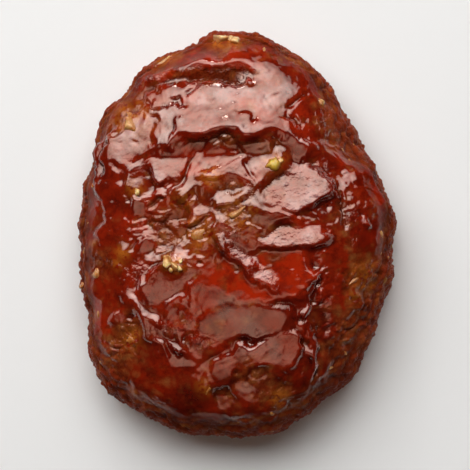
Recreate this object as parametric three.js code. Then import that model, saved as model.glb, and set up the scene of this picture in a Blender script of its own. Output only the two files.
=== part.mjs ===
// A single-portion meatloaf: an uneven oval of ground meat, pressed by hand, baked under a thick glaze.
// Millimetres, +Z up. The loaf rests on its flat base, the origin is the middle of that base,
// and +Y points to the loaf's back end, the narrower one.
import * as THREE from "three";

// Driving dimensions.
const LENGTH = 119; // along Y
const WIDTH = 94; // along X
const HEIGHT = 32; // from the base to the highest fold of the glaze

// The section through the loaf: a low dome, full at the shoulder, whose side tucks in under the waist.
const CROWN_HEIGHT = 29.5; // the dome's height before the folds are added
const WAIST_HEIGHT = 10; // where the loaf is widest
const SHOULDER_REACH = 0.56; // how far out the top stays nearly level, as a share of the radius
const SHOULDER_HEIGHT = 0.88; // how high the shoulder's corner is pulled, as a share of the crown
const FOOT_REACH = 0.93; // the flat base's radius as a share of the waist's

// The outline seen from above: a full oval, pushed in and out where hands pressed it.
const OVAL_FULLNESS = 2.25; // 2 is an ellipse, and more is squarer
const HAND_MARKS = [
  { where: "front left corner, full", angle: -135, spread: 17, depth: 3.4 },
  { where: "back left corner, full", angle: 137, spread: 7, depth: 1.3 },
  { where: "back left, pressed", angle: 145, spread: 22, depth: -1.6 },
  { where: "back, cut in", angle: 106, spread: 7, depth: -1.9 },
  { where: "back right corner, flat", angle: 44, spread: 25, depth: -6.9 },
  { where: "right side, full", angle: -14, spread: 7, depth: 1.2 },
  { where: "front right corner, pressed", angle: -51, spread: 32, depth: -3.4 },
];

// Folds and hollows of the top. Each runs along its own line through (x, y), turned from +X by
// turn degrees, and rises by rise where it is highest. A bend above 0 curves its ends to the front.
const FOLDS = [
  { of: "back rim", x: -13.5, y: 49.5, turn: 18, reach: 18, back: 3.5, front: 3, rise: 1.3, bend: 0.01 },
  { of: "slot", x: -10.5, y: 46, turn: 4, reach: 15, back: 2.2, front: 2.2, rise: -0.9, bend: 0.004 },
  { of: "back crest", x: 1.5, y: 29.5, turn: -3, reach: 22, back: 9, front: 3.2, rise: 1.9, bend: 0.008 },
  { of: "valley", x: 2.5, y: 23, turn: -3, reach: 22, back: 3.4, front: 4.6, rise: -0.9, bend: 0.006 },
  { of: "middle rise", x: 11.5, y: 4.5, turn: -8, reach: 20, back: 14, front: 9, rise: 1.2, bend: 0 },
  { of: "left hollow", x: -17.5, y: 4.5, turn: 30, reach: 11, back: 8, front: 8, rise: -1, bend: 0 },
  { of: "front pad", x: 4.5, y: -22.5, turn: 4, reach: 16, back: 6, front: 6, rise: 0.3, bend: 0 },
  { of: "front groove", x: 5.5, y: -29.5, turn: 29, reach: 15, back: 2.4, front: 2.4, rise: -1.1, bend: 0 },
  { of: "lower pad", x: 9.5, y: -34.5, turn: 10, reach: 11, back: 4, front: 5, rise: 0.9, bend: 0 },
  { of: "left ridge", x: -25.5, y: -24.5, turn: -58, reach: 12, back: 2.6, front: 2.6, rise: 0.9, bend: 0 },
  { of: "right lobe", x: 38.5, y: 14.5, turn: -68, reach: 11, back: 4, front: 4, rise: 1.4, bend: 0 },
  { of: "right seam", x: 26.5, y: -22.5, turn: -80, reach: 15, back: 2.4, front: 2.4, rise: -0.9, bend: 0 },
];

// The side is lumpy: waves run round it, each starting at its own direction and leaning with height.
const SIDE_WAVES = [
  { count: 5, start: 10, rise: 0.5, lean: 0.6 },
  { count: 8, start: 75, rise: 0.4, lean: -1.1 },
  { count: 13, start: 31, rise: 0.35, lean: 1.4 },
  { count: 19, start: 52, rise: 0.25, lean: -1.9 },
  { count: 27, start: 5, rise: 0.2, lean: 2.3 },
];

// How finely the skin is divided.
const COLUMNS_AROUND = 112;
const RINGS_ABOVE_BASE = 32;
const BASE_RINGS = [0.6, 0.25, 0]; // shares of the foot's radius, down to the base's middle

const radians = THREE.MathUtils.degToRad;

// The bell-shaped falloff of a mark or a fold: 1 at its middle, and nearly 0 two spreads away.
function bell(distance, spread) {
  return Math.exp(-((distance / spread) ** 2));
}

// The smallest turn between two directions, in degrees.
function turnBetween(a, b) {
  return Math.abs(THREE.MathUtils.euclideanModulo(a - b + 180, 360) - 180);
}

// The waist's radius in a direction, from the oval and the hand marks.
function waistRadius(degrees) {
  const across = Math.abs(Math.cos(radians(degrees))) / (WIDTH / 2);
  const along = Math.abs(Math.sin(radians(degrees))) / (LENGTH / 2);
  const oval = (across ** OVAL_FULLNESS + along ** OVAL_FULLNESS) ** (-1 / OVAL_FULLNESS);
  return HAND_MARKS.reduce(
    (radius, mark) => radius + mark.depth * bell(turnBetween(degrees, mark.angle), mark.spread),
    oval,
  );
}

// Half of the section, from the crown out over the shoulder and down to the foot, evenly spaced,
// and then in along the base. Each point is a share of the radius and a height.
function sectionPoints() {
  const typicalRadius = (WIDTH + LENGTH) / 4;
  const skin = new THREE.Path();
  skin.moveTo(0, CROWN_HEIGHT);
  skin.bezierCurveTo(
    SHOULDER_REACH * typicalRadius, CROWN_HEIGHT,
    typicalRadius, SHOULDER_HEIGHT * CROWN_HEIGHT,
    typicalRadius, WAIST_HEIGHT,
  );
  skin.quadraticCurveTo(typicalRadius, 0, FOOT_REACH * typicalRadius, 0);
  const above = skin.getSpacedPoints(RINGS_ABOVE_BASE).map((p) => ({
    share: p.x / typicalRadius,
    height: p.y,
  }));
  const base = BASE_RINGS.map((share) => ({ share: FOOT_REACH * share, height: 0 }));
  return [...above, ...base];
}

// How far the folds lift the top at (x, y).
function foldLift(x, y) {
  return FOLDS.reduce((lift, fold) => {
    const cos = Math.cos(radians(fold.turn));
    const sin = Math.sin(radians(fold.turn));
    const along = (x - fold.x) * cos + (y - fold.y) * sin;
    const across = (y - fold.y) * cos - (x - fold.x) * sin + fold.bend * along ** 2;
    const width = across > 0 ? fold.back : fold.front;
    return lift + fold.rise * bell(along, fold.reach) * bell(across, width);
  }, 0);
}

// How far the side waves push the skin out, in a direction and at a height.
function sideSwell(degrees, height) {
  return SIDE_WAVES.reduce((swell, wave) => {
    const phase = radians(wave.count * (degrees - wave.start)) + (wave.lean * height) / WAIST_HEIGHT;
    return swell + wave.rise * Math.sin(phase);
  }, 0);
}

// A point of the loaf's skin, from its direction and its place on the section.
function skinPoint(degrees, { share, height }) {
  const onTop = THREE.MathUtils.smoothstep(height, WAIST_HEIGHT, CROWN_HEIGHT - 1);
  const onSide = THREE.MathUtils.smoothstep(share, 0.6, FOOT_REACH);
  const radius = share * waistRadius(degrees) + onSide * sideSwell(degrees, height);
  const x = radius * Math.cos(radians(degrees));
  const y = radius * Math.sin(radians(degrees));
  return new THREE.Vector3(x, y, height + onTop * foldLift(x, y));
}

// The loaf's closed skin: a sphere's rings and columns, each vertex moved to its place on the loaf,
// then brought to the driving dimensions with the base's middle at the origin.
function loafGeometry() {
  const section = sectionPoints();
  const geometry = new THREE.SphereGeometry(1, COLUMNS_AROUND, section.length - 1);
  const position = geometry.getAttribute("position");
  for (let ring = 0; ring < section.length; ring += 1) {
    for (let column = 0; column <= COLUMNS_AROUND; column += 1) {
      const degrees = (360 * (column % COLUMNS_AROUND)) / COLUMNS_AROUND;
      const point = skinPoint(degrees, section[ring]);
      position.setXYZ(ring * (COLUMNS_AROUND + 1) + column, point.x, point.y, point.z);
    }
  }
  geometry.computeBoundingBox();
  const size = geometry.boundingBox.getSize(new THREE.Vector3());
  const middle = geometry.boundingBox.getCenter(new THREE.Vector3());
  geometry.translate(-middle.x, -middle.y, 0);
  geometry.scale(WIDTH / size.x, LENGTH / size.y, HEIGHT / size.z);
  geometry.computeVertexNormals();
  return geometry;
}

function makeMeatloaf() {
  const glazedMeat = new THREE.MeshStandardMaterial({ color: 0x6e1e0c, roughness: 0.25, metalness: 0 });
  const loaf = new THREE.Mesh(loafGeometry(), glazedMeat);
  loaf.name = "meatloaf";
  return loaf;
}

const part = new THREE.Group();
part.add(makeMeatloaf());

export default part;
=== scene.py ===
"""A glazed single-portion meatloaf: its looks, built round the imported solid.

The loaf is made of crumbly ground meat under a thick, glossy tomato glaze, with cooked onion and pepper
in both. The frame gives its size. The loaf's lengths are in millimetres until its meshes are written, and
the studio's are in metres.
"""

from __future__ import annotations

import logging
import math
from collections.abc import Iterator
from dataclasses import dataclass, field
from enum import Enum
from typing import ClassVar

import bpy
import numpy as np
from mathutils import Matrix, Vector

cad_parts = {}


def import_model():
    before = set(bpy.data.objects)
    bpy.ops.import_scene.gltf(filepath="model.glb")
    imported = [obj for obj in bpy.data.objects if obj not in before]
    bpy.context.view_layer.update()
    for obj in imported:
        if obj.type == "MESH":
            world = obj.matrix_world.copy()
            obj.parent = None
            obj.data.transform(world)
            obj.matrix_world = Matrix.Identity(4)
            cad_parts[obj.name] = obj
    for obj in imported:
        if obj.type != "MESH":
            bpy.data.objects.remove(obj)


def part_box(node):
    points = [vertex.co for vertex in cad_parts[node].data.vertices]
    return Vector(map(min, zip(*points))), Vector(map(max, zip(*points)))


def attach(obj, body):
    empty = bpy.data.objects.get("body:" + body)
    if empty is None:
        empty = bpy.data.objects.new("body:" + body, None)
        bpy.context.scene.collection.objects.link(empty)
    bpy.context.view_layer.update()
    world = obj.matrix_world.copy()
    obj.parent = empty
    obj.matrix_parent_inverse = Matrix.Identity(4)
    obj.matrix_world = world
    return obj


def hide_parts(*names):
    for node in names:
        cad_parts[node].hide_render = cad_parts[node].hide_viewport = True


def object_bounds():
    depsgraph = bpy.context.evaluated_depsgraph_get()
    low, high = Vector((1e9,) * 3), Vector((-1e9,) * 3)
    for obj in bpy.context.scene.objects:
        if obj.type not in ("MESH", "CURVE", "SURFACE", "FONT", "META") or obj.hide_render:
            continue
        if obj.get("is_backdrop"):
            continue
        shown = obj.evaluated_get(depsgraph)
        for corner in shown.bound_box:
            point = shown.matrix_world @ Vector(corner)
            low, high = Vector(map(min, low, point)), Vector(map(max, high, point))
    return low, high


LOG = logging.getLogger("meatloaf")

NODE = "meatloaf"
BODY = "root"
MM = 0.001
SEED = 20

Array = np.ndarray
Colour = tuple[float, float, float]


# ---------------------------------------------------------------------------------------------
# Numbers and noise
# ---------------------------------------------------------------------------------------------


def bell(distance: Array | float, spread: Array | float) -> Array:
    """A bell-shaped falloff: e to the minus square of distance over spread."""
    return np.exp(-((distance / spread) ** 2))


def smoothstep(value: Array | float, low: Array | float, high: Array | float) -> Array:
    """0 below low, 1 above high, and a smooth S between: 3 t squared minus 2 t cubed."""
    t = np.clip((value - low) / (high - low), 0.0, 1.0)
    return t * t * (3.0 - 2.0 * t)


def smooth_ceiling(a: Array, b: Array, blend: float) -> Array:
    """The larger of a and b, with the corner where they cross rounded over the length blend."""
    t = np.clip(0.5 + 0.5 * (a - b) / blend, 0.0, 1.0)
    return b + (a - b) * t + blend * t * (1.0 - t)


class Grain:
    """Seeded noise in space, worked out for whole arrays of points.

    The shifts keep layers of one noise from lining up with each other.
    """

    GAIN = 1.6  # brings gradient noise to about -1 to 1
    CLOUD_SHIFT = 31.7
    CREASE_SHIFT = 17.3
    WARP_SHIFTS = (11.1, 47.9, 83.3)
    FAR = 9.0  # further than any cell's point can lie, in steps
    FACET_DROP = 0.25  # how far one facet lies over or under the next, as a share of its slope
    FACET_SEAM = 0.3  # how wide the seam between two facets is, in steps

    def __init__(self, seed: int) -> None:
        """Draws the lattice's table.

        Args:
            seed: Chooses the pattern; the same seed gives the same pattern.
        """
        draw = np.random.default_rng(seed)
        self._table = draw.permutation(256)
        steps = draw.normal(size=(256, 3))
        self._slopes = steps / np.linalg.norm(steps, axis=1, keepdims=True)
        self._jitter = draw.random((256, 3))

    def _index(self, cell: Array) -> Array:
        """The table's entry for each lattice cell.

        Args:
            cell: Lattice cells, as rows of three.

        Returns:
            Numbers from 0 to 255.
        """
        wrapped = cell & 255
        first = self._table[wrapped[..., 0]]
        second = self._table[(first + wrapped[..., 1]) & 255]
        return self._table[(second + wrapped[..., 2]) & 255]

    def smooth(self, points: Array, size: float) -> Array:
        """Gradient noise, about -1 to 1.

        The slopes of the eight lattice corners round a point are blended by a quintic S curve.

        Args:
            points: Places, as an array of rows of three.
            size: The length over which the noise changes.

        Returns:
            The noise at each point.
        """
        scaled = points / size
        cell = np.floor(scaled).astype(int)
        inside = scaled - cell
        fade = inside**3 * (inside * (inside * 6.0 - 15.0) + 10.0)
        total = np.zeros(len(points))
        for corner in np.ndindex(2, 2, 2):
            offset = np.array(corner)
            slope = self._slopes[self._index(cell + offset)]
            share = np.prod(np.where(offset == 1, fade, 1.0 - fade), axis=1)
            total += share * np.einsum("ij,ij->i", slope, inside - offset)
        return total * self.GAIN

    def cloudy(self, points: Array, size: float, octaves: int = 3, rough: float = 0.5) -> Array:
        """Several layers of smooth noise, each half the size and rough times the height of the last.

        Args:
            points: Places, as an array of rows of three.
            size: How wide the widest layer's clouds are.
            octaves: How many layers there are.
            rough: How strong each is, as a share of the one before.

        Returns:
            The noise at each point, about -1 to 1.
        """
        total = np.zeros(len(points))
        height, spread = 1.0, 0.0
        for layer in range(octaves):
            total += height * self.smooth(points + self.CLOUD_SHIFT * layer, size / 2**layer)
            spread += height
            height *= rough
        return total / spread

    def creased(self, points: Array, size: float, octaves: int = 2) -> Array:
        """Ridges, 0 to 1: one minus the size of smooth noise, cubed, so that its zero lines stand up.

        Args:
            points: Places, as an array of rows of three.
            size: How far apart the widest layer's ridges are.
            octaves: How many layers there are.

        Returns:
            The ridges' height at each point.
        """
        total = np.zeros(len(points))
        height, spread = 1.0, 0.0
        for layer in range(octaves):
            noise = self.smooth(points - self.CREASE_SHIFT * layer, size / 2**layer)
            total += height * (1.0 - np.abs(noise)) ** 3
            spread += height
            height *= 0.5
        return total / spread

    def cells(self, points: Array, size: float) -> tuple[Array, Array, Array, Array]:
        """The nearest of points strewn one in each lattice cell.

        Args:
            points: Places, as an array of rows of three.
            size: The lattice's step.

        Returns:
            The distance to the nearest, to the second nearest, both in steps, the nearest one's
            number from 0 to 255, and the way from it, in steps.
        """
        scaled = points / size
        home = np.floor(scaled).astype(int)
        nearest = np.full(len(points), self.FAR)
        second = np.full(len(points), self.FAR)
        number = np.zeros(len(points), int)
        way = np.zeros(points.shape)
        for step in np.ndindex(3, 3, 3):
            cell = home + np.array(step) - 1
            index = self._index(cell)
            from_middle = scaled - cell - self._jitter[index]
            gap = np.linalg.norm(from_middle, axis=1)
            closer = gap < nearest
            second = np.where(closer, nearest, np.minimum(second, gap))
            number = np.where(closer, index, number)
            way = np.where(closer[:, None], from_middle, way)
            nearest = np.where(closer, gap, nearest)
        return nearest, second, number, way

    def facets(self, points: Array, size: float, steep: float) -> Array:
        """Heights of small flat facets, one over each cell, each tilted its own way.

        A facet's height is its own slope times the way from its middle, faded out where the
        nearest two middles are equally far.

        Args:
            points: Places, as an array of rows of three.
            size: How wide a facet is.
            steep: The steepest slope.

        Returns:
            The facets' height at each point.
        """
        near, second, number, way = self.cells(points * np.array([1.0, 1.0, 0.0]), size)
        slope = self._slopes[number] * steep * size
        height = slope[:, 0] * way[:, 0] + slope[:, 1] * way[:, 1] + self.FACET_DROP * slope[:, 2]
        return height * smoothstep(second - near, 0.0, self.FACET_SEAM)

    def warp(self, points: Array, size: float, reach: float) -> Array:
        """The points, each pushed up to about reach by smooth noise of its own along every axis."""
        pushes = [self.smooth(points + shift, size) for shift in self.WARP_SHIFTS]
        return points + reach * np.stack(pushes, axis=1)


@dataclass(frozen=True)
class Cloud:
    """A layer of cloudy noise.

    Attributes:
        rise: How strong it is.
        shift: Where in the noise it is read.
        size: How wide its clouds are.
        octaves: How many layers it is made of.
        rough: How strong each layer is, as a share of the one before.
    """

    rise: float
    shift: float
    size: float
    octaves: int = 2
    rough: float = 0.5

    def over(self, grain: Grain, points: Array) -> Array:
        """The noise over points, times its rise."""
        return self.rise * grain.cloudy(points + self.shift, self.size, self.octaves, self.rough)


# ---------------------------------------------------------------------------------------------
# Meshes
# ---------------------------------------------------------------------------------------------


@dataclass
class Sheet:
    """A square grid of places spread over a disc: its middle is the loaf's crown.

    Attributes:
        steps: How many quads the grid has along a side.
        hollow_reaches: How many steps away the surroundings of a hollow are taken.
        hollow_depths: The depths, in millimetres, that count as no hollow and as a full one.
    """

    steps: int
    hollow_reaches: tuple[int, int] = (2, 4)
    hollow_depths: tuple[float, float] = (0.03, 0.35)

    def places(self) -> tuple[Array, Array]:
        """Each grid point's share of the disc's radius, and its direction in radians.

        The square is squeezed ring by ring: a point's larger coordinate becomes its radius, and the
        other one, as a share of it, turns it by up to an eighth of a circle from the nearest axis.

        Returns:
            The shares and the directions, in radians, of all the grid's points.
        """
        line = np.linspace(-1.0, 1.0, self.steps + 1)
        a, b = (grid.ravel() for grid in np.meshgrid(line, line, indexing="ij"))
        wide = np.abs(a) > np.abs(b)
        larger = np.where(wide, a, b)
        smaller = np.where(wide, b, a)
        share = np.divide(smaller, larger, out=np.zeros_like(a), where=larger != 0)
        turn = np.where(wide, share, 2.0 - share) * math.pi / 4.0
        return np.abs(larger), turn + np.where(larger < 0, math.pi, 0.0)

    def quads(self) -> Array:
        """The grid's faces, anticlockwise from above."""
        index = np.arange((self.steps + 1) ** 2).reshape(self.steps + 1, -1)
        corners = (index[:-1, :-1], index[1:, :-1], index[1:, 1:], index[:-1, 1:])
        return np.stack([corner.ravel() for corner in corners], axis=1)

    def rim(self) -> Array:
        """The grid's border, anticlockwise from above."""
        index = np.arange((self.steps + 1) ** 2).reshape(self.steps + 1, -1)
        sides = (index[:-1, 0], index[-1, :-1], index[:0:-1, -1], index[0, :0:-1])
        return np.concatenate(sides)

    def hollows(self, heights: Array) -> Array:
        """How deep each grid point lies under the mean of its surroundings, from 0 to 1.

        The mean is taken by shifting the grid a few steps every way, twice over.

        Args:
            heights: The grid points' heights.

        Returns:
            A value from 0 to 1 for each grid point.
        """
        grid = heights.reshape(self.steps + 1, self.steps + 1)
        mean = grid
        for reach in self.hollow_reaches:
            sides = [np.roll(mean, step, axis) for axis in (0, 1) for step in (-reach, reach)]
            mean = (mean + sum(sides)) / 5.0
        border = 2 * max(self.hollow_reaches)
        inside = np.zeros_like(grid)
        inside[border:-border, border:-border] = 1.0
        return (smoothstep(mean - grid, *self.hollow_depths) * inside).ravel()

    def normals(self, points: Array) -> Array:
        """Unit normals of the grid when its points lie at points: the cross of its two steps.

        Args:
            points: The grid's points.

        Returns:
            The normals, pointing outwards.
        """
        grid = points.reshape(self.steps + 1, self.steps + 1, 3)
        across, along = np.gradient(grid, axis=0), np.gradient(grid, axis=1)
        cross = np.cross(across, along).reshape(-1, 3)
        return cross / np.maximum(np.linalg.norm(cross, axis=1, keepdims=True), 1e-12)


def ring_quads(rings: Array) -> Array:
    """The faces between rings of vertex numbers, one ring in each row, facing down when they shrink."""
    here, inner = rings[:-1], rings[1:]
    following, inner_following = np.roll(here, -1, axis=1), np.roll(inner, -1, axis=1)
    return np.stack([here, inner, inner_following, following], axis=-1).reshape(-1, 4)


def thinning_faces(rim: Array, ring: Array) -> Array:
    """Triangles that join a rim to an inner ring with a quarter of its vertices, facing down.

    Args:
        rim: The rim's vertex numbers.
        ring: The inner ring's.

    Returns:
        The triangles.
    """
    a, b, c, d = rim.reshape(-1, 4).T
    e = np.roll(a, -1)
    near, far = ring, np.roll(ring, -1)
    faces = [(a, near, b), (b, near, c), (c, near, far), (c, far, d), (d, far, e)]
    return np.concatenate([np.stack(face, axis=1) for face in faces])


def closed_under(sheet: Sheet, top: Array, rings: list[Array], tip: Array) -> tuple[Array, list[Array]]:
    """Closes a sheet from below, by rings that shrink from its rim and a fan to one point.

    Args:
        sheet: The grid on top.
        top: The grid's points.
        rings: Each ring's points, a quarter as many as the rim has, from the outermost inwards.
        tip: The point inside the last ring.

    Returns:
        All the points, the grid's first, and the faces.
    """
    inner = np.arange(len(rings) * len(rings[0])).reshape(len(rings), -1) + len(top)
    last = len(top) + inner.size
    fan = np.stack([inner[-1], np.full(inner.shape[1], last), np.roll(inner[-1], -1)], axis=1)
    faces = [sheet.quads(), thinning_faces(sheet.rim(), inner[0]), ring_quads(inner), fan]
    return np.concatenate([top, *rings, tip.reshape(1, 3)]), faces


def solid_mesh(
    name: str, points: Array, faces: list[Array], marks: dict[str, Array] | None = None
) -> bpy.types.Object:
    """Makes a smooth-shaded object from points in millimetres.

    Args:
        name: The object's name.
        points: Vertices, as rows of three.
        faces: Arrays of faces, each with one number of corners.
        marks: Values for each vertex, by attribute name.

    Returns:
        The object, linked to the scene, at the origin.
    """
    mesh = bpy.data.meshes.new(name)
    listed = [face for group in faces for face in group.tolist()]
    mesh.from_pydata((points * MM).tolist(), [], listed)
    mesh.validate()
    for mark, values in (marks or {}).items():
        attribute = mesh.attributes.new(mark, "FLOAT", "POINT")
        attribute.data.foreach_set("value", np.ascontiguousarray(values, np.float32))
    mesh.shade_smooth()
    mesh.update()
    piece = bpy.data.objects.new(name, mesh)
    bpy.context.scene.collection.objects.link(piece)
    return piece


# ---------------------------------------------------------------------------------------------
# The loaf's form
# ---------------------------------------------------------------------------------------------


@dataclass(frozen=True)
class Bulge:
    """A stretch of a line round the loaf that is full, or pushed in when its depth is below 0.

    Attributes:
        angle: The direction of its middle, in degrees from +X.
        spread: How wide it is, in degrees.
        depth: How far it moves the line.
    """

    angle: float
    spread: float
    depth: float

    def push(self, degrees: Array) -> Array:
        """How far it moves the line in a direction: its depth, times a bell of the turn to it."""
        turn = np.abs((degrees - self.angle + 180.0) % 360.0 - 180.0)
        return self.depth * bell(turn, self.spread)


@dataclass(frozen=True)
class Fold:
    """A fold of the top, or a hollow when its rise is below 0.

    Attributes:
        x: Its middle along X.
        y: Its middle along Y.
        turn: The direction of its line, in degrees from +X.
        reach: How long it is, from its middle.
        back: How wide it is behind its line.
        front: How wide it is in front of its line.
        rise: How high it is in its middle.
        bend: How far its ends curve to the front.
    """

    x: float
    y: float
    turn: float
    reach: float
    back: float
    front: float
    rise: float
    bend: float = 0.0

    def lift(self, x: Array, y: Array) -> Array:
        """How far it lifts the top: its rise, times a bell along it, times a bell across it.

        The bell across has one width behind the line and another in front. The line's ends curve
        to the front by bend times the square of the distance along it.

        Args:
            x: Places along X.
            y: Places along Y.

        Returns:
            The lift at each place.
        """
        cos, sin = math.cos(math.radians(self.turn)), math.sin(math.radians(self.turn))
        along = (x - self.x) * cos + (y - self.y) * sin
        across = (y - self.y) * cos - (x - self.x) * sin + self.bend * along**2
        width = np.where(across > 0, self.back, self.front)
        return self.rise * bell(along, self.reach) * bell(across, width)


@dataclass
class LoafForm:
    """The loaf's overall shape: the same oval, section and folds as the solid, fitted to its box.

    Attributes:
        low: The box's lowest corner.
        high: The box's highest corner.
        crown_height: The dome's height before the folds are added.
        waist_height: Where the loaf is widest.
        shoulder_reach: How far out the top stays nearly level, as a share of the radius.
        shoulder_height: How high the shoulder's corner is pulled, as a share of the crown.
        foot_reach: The flat base's radius, as a share of the waist's.
        fullness: 2 is an ellipse, and more is squarer.
        hand_marks: Where hands pressed the outline.
        folds: The larger folds and hollows of the top.
        side_waves: Waves round the side: how many, where they start, how high, and their lean.
    """

    low: Array
    high: Array
    crown_height: float = 29.5
    waist_height: float = 10.0
    shoulder_reach: float = 0.56
    shoulder_height: float = 0.88
    foot_reach: float = 0.93
    fullness: float = 2.25
    hand_marks: tuple[Bulge, ...] = (
        Bulge(-135, 17, 3.4),
        Bulge(137, 7, 1.3),
        Bulge(145, 22, -1.6),
        Bulge(106, 7, -1.9),
        Bulge(44, 25, -6.9),
        Bulge(-14, 7, 1.2),
        Bulge(-51, 32, -3.4),
    )
    folds: tuple[Fold, ...] = (
        Fold(-13.5, 49.5, 18, 18, 3.5, 3, 1.3, 0.01),
        Fold(-10.5, 46, 4, 15, 2.2, 2.2, -0.9, 0.004),
        Fold(1.5, 29.5, -3, 22, 9, 3.2, 1.9, 0.008),
        Fold(2.5, 23, -3, 22, 3.4, 4.6, -0.9, 0.006),
        Fold(11.5, 4.5, -8, 20, 14, 9, 1.2),
        Fold(-17.5, 4.5, 30, 11, 8, 8, -1.0),
        Fold(4.5, -22.5, 4, 16, 6, 6, 0.3),
        Fold(5.5, -29.5, 29, 15, 2.4, 2.4, -1.1),
        Fold(9.5, -34.5, 10, 11, 4, 5, 0.9),
        Fold(-25.5, -24.5, -58, 12, 2.6, 2.6, 0.9),
        Fold(38.5, 14.5, -68, 11, 4, 4, 1.4),
        Fold(26.5, -22.5, -80, 15, 2.4, 2.4, -0.9),
    )
    side_waves: tuple[tuple[int, float, float, float], ...] = (
        (5, 10, 0.5, 0.6),
        (8, 75, 0.4, -1.1),
        (13, 31, 0.35, 1.4),
        (19, 52, 0.25, -1.9),
        (27, 5, 0.2, 2.3),
    )
    _shares: Array = field(init=False, repr=False)
    _heights: Array = field(init=False, repr=False)
    _fit: tuple[Array, Array] = field(init=False, repr=False)

    def __post_init__(self) -> None:
        """Measures the section, then the raw form, so that it can be fitted to the box."""
        self._shares, self._heights = self._section()
        self._fit = (np.zeros(3), np.ones(3))
        place, angle = (
            grid.ravel() for grid in np.meshgrid(np.linspace(0, 1, 90), np.linspace(0, 2 * math.pi, 361))
        )
        raw = self.skin(place, angle)
        size = self.high - self.low
        lowest, highest = raw.min(axis=0), raw.max(axis=0)
        scale = size / (highest - lowest)
        middle = (lowest + highest) / 2
        shift = (self.low + self.high) / 2 - middle * scale
        shift[2] = self.low[2] - lowest[2] * scale[2]
        self._fit = (shift, scale)

    @property
    def width(self) -> float:
        """The box's size along X."""
        return float(self.high[0] - self.low[0])

    @property
    def length(self) -> float:
        """The box's size along Y."""
        return float(self.high[1] - self.low[1])

    def _section(self) -> tuple[Array, Array]:
        """Shares of the radius and heights along half of the section, evenly spaced from the crown.

        A cubic Bezier curve runs over the shoulder to the waist, and a quadratic one tucks in to
        the foot. Both are walked finely, then resampled by the distance walked.

        Returns:
            The shares and the heights.
        """
        radius = (self.width + self.length) / 4
        t = np.linspace(0.0, 1.0, 400)[:, None]
        crown = np.array([0.0, self.crown_height])
        level = np.array([self.shoulder_reach * radius, self.crown_height])
        corner = np.array([radius, self.shoulder_height * self.crown_height])
        waist = np.array([radius, self.waist_height])
        knee = np.array([radius, 0.0])
        foot = np.array([self.foot_reach * radius, 0.0])
        s = 1.0 - t
        dome = s**3 * crown + 3 * s**2 * t * level + 3 * s * t**2 * corner + t**3 * waist
        tuck = s**2 * waist + 2 * s * t * knee + t**2 * foot
        walk = np.concatenate([dome, tuck[1:]])
        gone = np.concatenate([[0], np.cumsum(np.linalg.norm(np.diff(walk, axis=0), axis=1))])
        even = np.linspace(0.0, gone[-1], 500)
        return np.interp(even, gone, walk[:, 0]) / radius, np.interp(even, gone, walk[:, 1])

    def waist_radius(self, angle: Array) -> Array:
        """The waist's radius in a direction: a full oval plus a bell for each hand mark.

        Args:
            angle: Directions, in radians.

        Returns:
            The radius in each.
        """
        across = np.abs(np.cos(angle)) / (self.width / 2)
        along = np.abs(np.sin(angle)) / (self.length / 2)
        radius = (across**self.fullness + along**self.fullness) ** (-1.0 / self.fullness)
        for mark in self.hand_marks:
            radius = radius + mark.push(np.degrees(angle))
        return radius

    def skin(self, place: Array, angle: Array) -> Array:
        """Points of the outer skin.

        The section gives a share of the waist's radius and a height; waves round the side push
        the point out, and the folds lift it where it lies on the top.

        Args:
            place: From 0 at the crown to 1 at the foot, by the distance walked.
            angle: The direction from the middle, in radians.

        Returns:
            Points in millimetres, as rows of three, in the loaf's own frame.
        """
        steps = np.linspace(0.0, 1.0, len(self._shares))
        share = np.interp(place, steps, self._shares)
        height = np.interp(place, steps, self._heights)
        on_top = smoothstep(height, self.waist_height, self.crown_height - 1.0)
        on_side = smoothstep(share, 0.6, self.foot_reach)
        swell = np.zeros_like(height)
        for count, start, rise, lean in self.side_waves:
            phase = count * (angle - math.radians(start)) + lean * height / self.waist_height
            swell += rise * np.sin(phase)
        radius = share * self.waist_radius(angle) + on_side * swell
        x, y = radius * np.cos(angle), radius * np.sin(angle)
        lift = sum(fold.lift(x, y) for fold in self.folds)
        shift, scale = self._fit
        return np.stack([x, y, height + on_top * lift], axis=1) * scale + shift

    def place_of(self, x: float, y: float) -> tuple[float, float]:
        """The place and the angle of the top's point above (x, y).

        Args:
            x: Where it is along X.
            y: Where it is along Y.

        Returns:
            Its place on the section and its direction, in radians.
        """
        angle = math.atan2(y, x)
        share = math.hypot(x, y) / float(self.waist_radius(np.array([angle]))[0])
        widest = int(np.argmax(self._shares))
        place = np.interp(share, self._shares[: widest + 1], np.arange(widest + 1))
        return float(place) / (len(self._shares) - 1), angle

    def level(self, x: float, y: float) -> float:
        """How high the top is above (x, y)."""
        place, angle = self.place_of(x, y)
        return float(self.skin(np.array([place]), np.array([angle]))[0, 2])

    def seat(self, place: float, angle: float) -> tuple[Array, Array]:
        """A point of the skin, and the unit normal there, from two small steps along the skin.

        Args:
            place: Its place on the section.
            angle: Its direction, in radians.

        Returns:
            The point and the normal.
        """
        step = 0.01
        places = np.array([place, place + step, place - step, place, place])
        angles = np.array([angle, angle, angle, angle + step, angle - step])
        point, down, up, left, right = self.skin(places, angles)
        normal = np.cross(down - up, left - right)
        return point, normal / np.linalg.norm(normal)


# ---------------------------------------------------------------------------------------------
# How high the meat and the glaze stand over the form
# ---------------------------------------------------------------------------------------------


class Cut(Enum):
    """How a bit of vegetable was cut: its half sizes, and how far it bends."""

    SLIVER = (3.4, 1.1, 0.9, 1.0)
    CHUNK = (2.2, 1.4, 1.2, 0.3)
    DICE = (1.5, 1.3, 1.1, 0.1)
    CRUMB = (0.9, 0.7, 0.6, 0.0)


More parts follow.
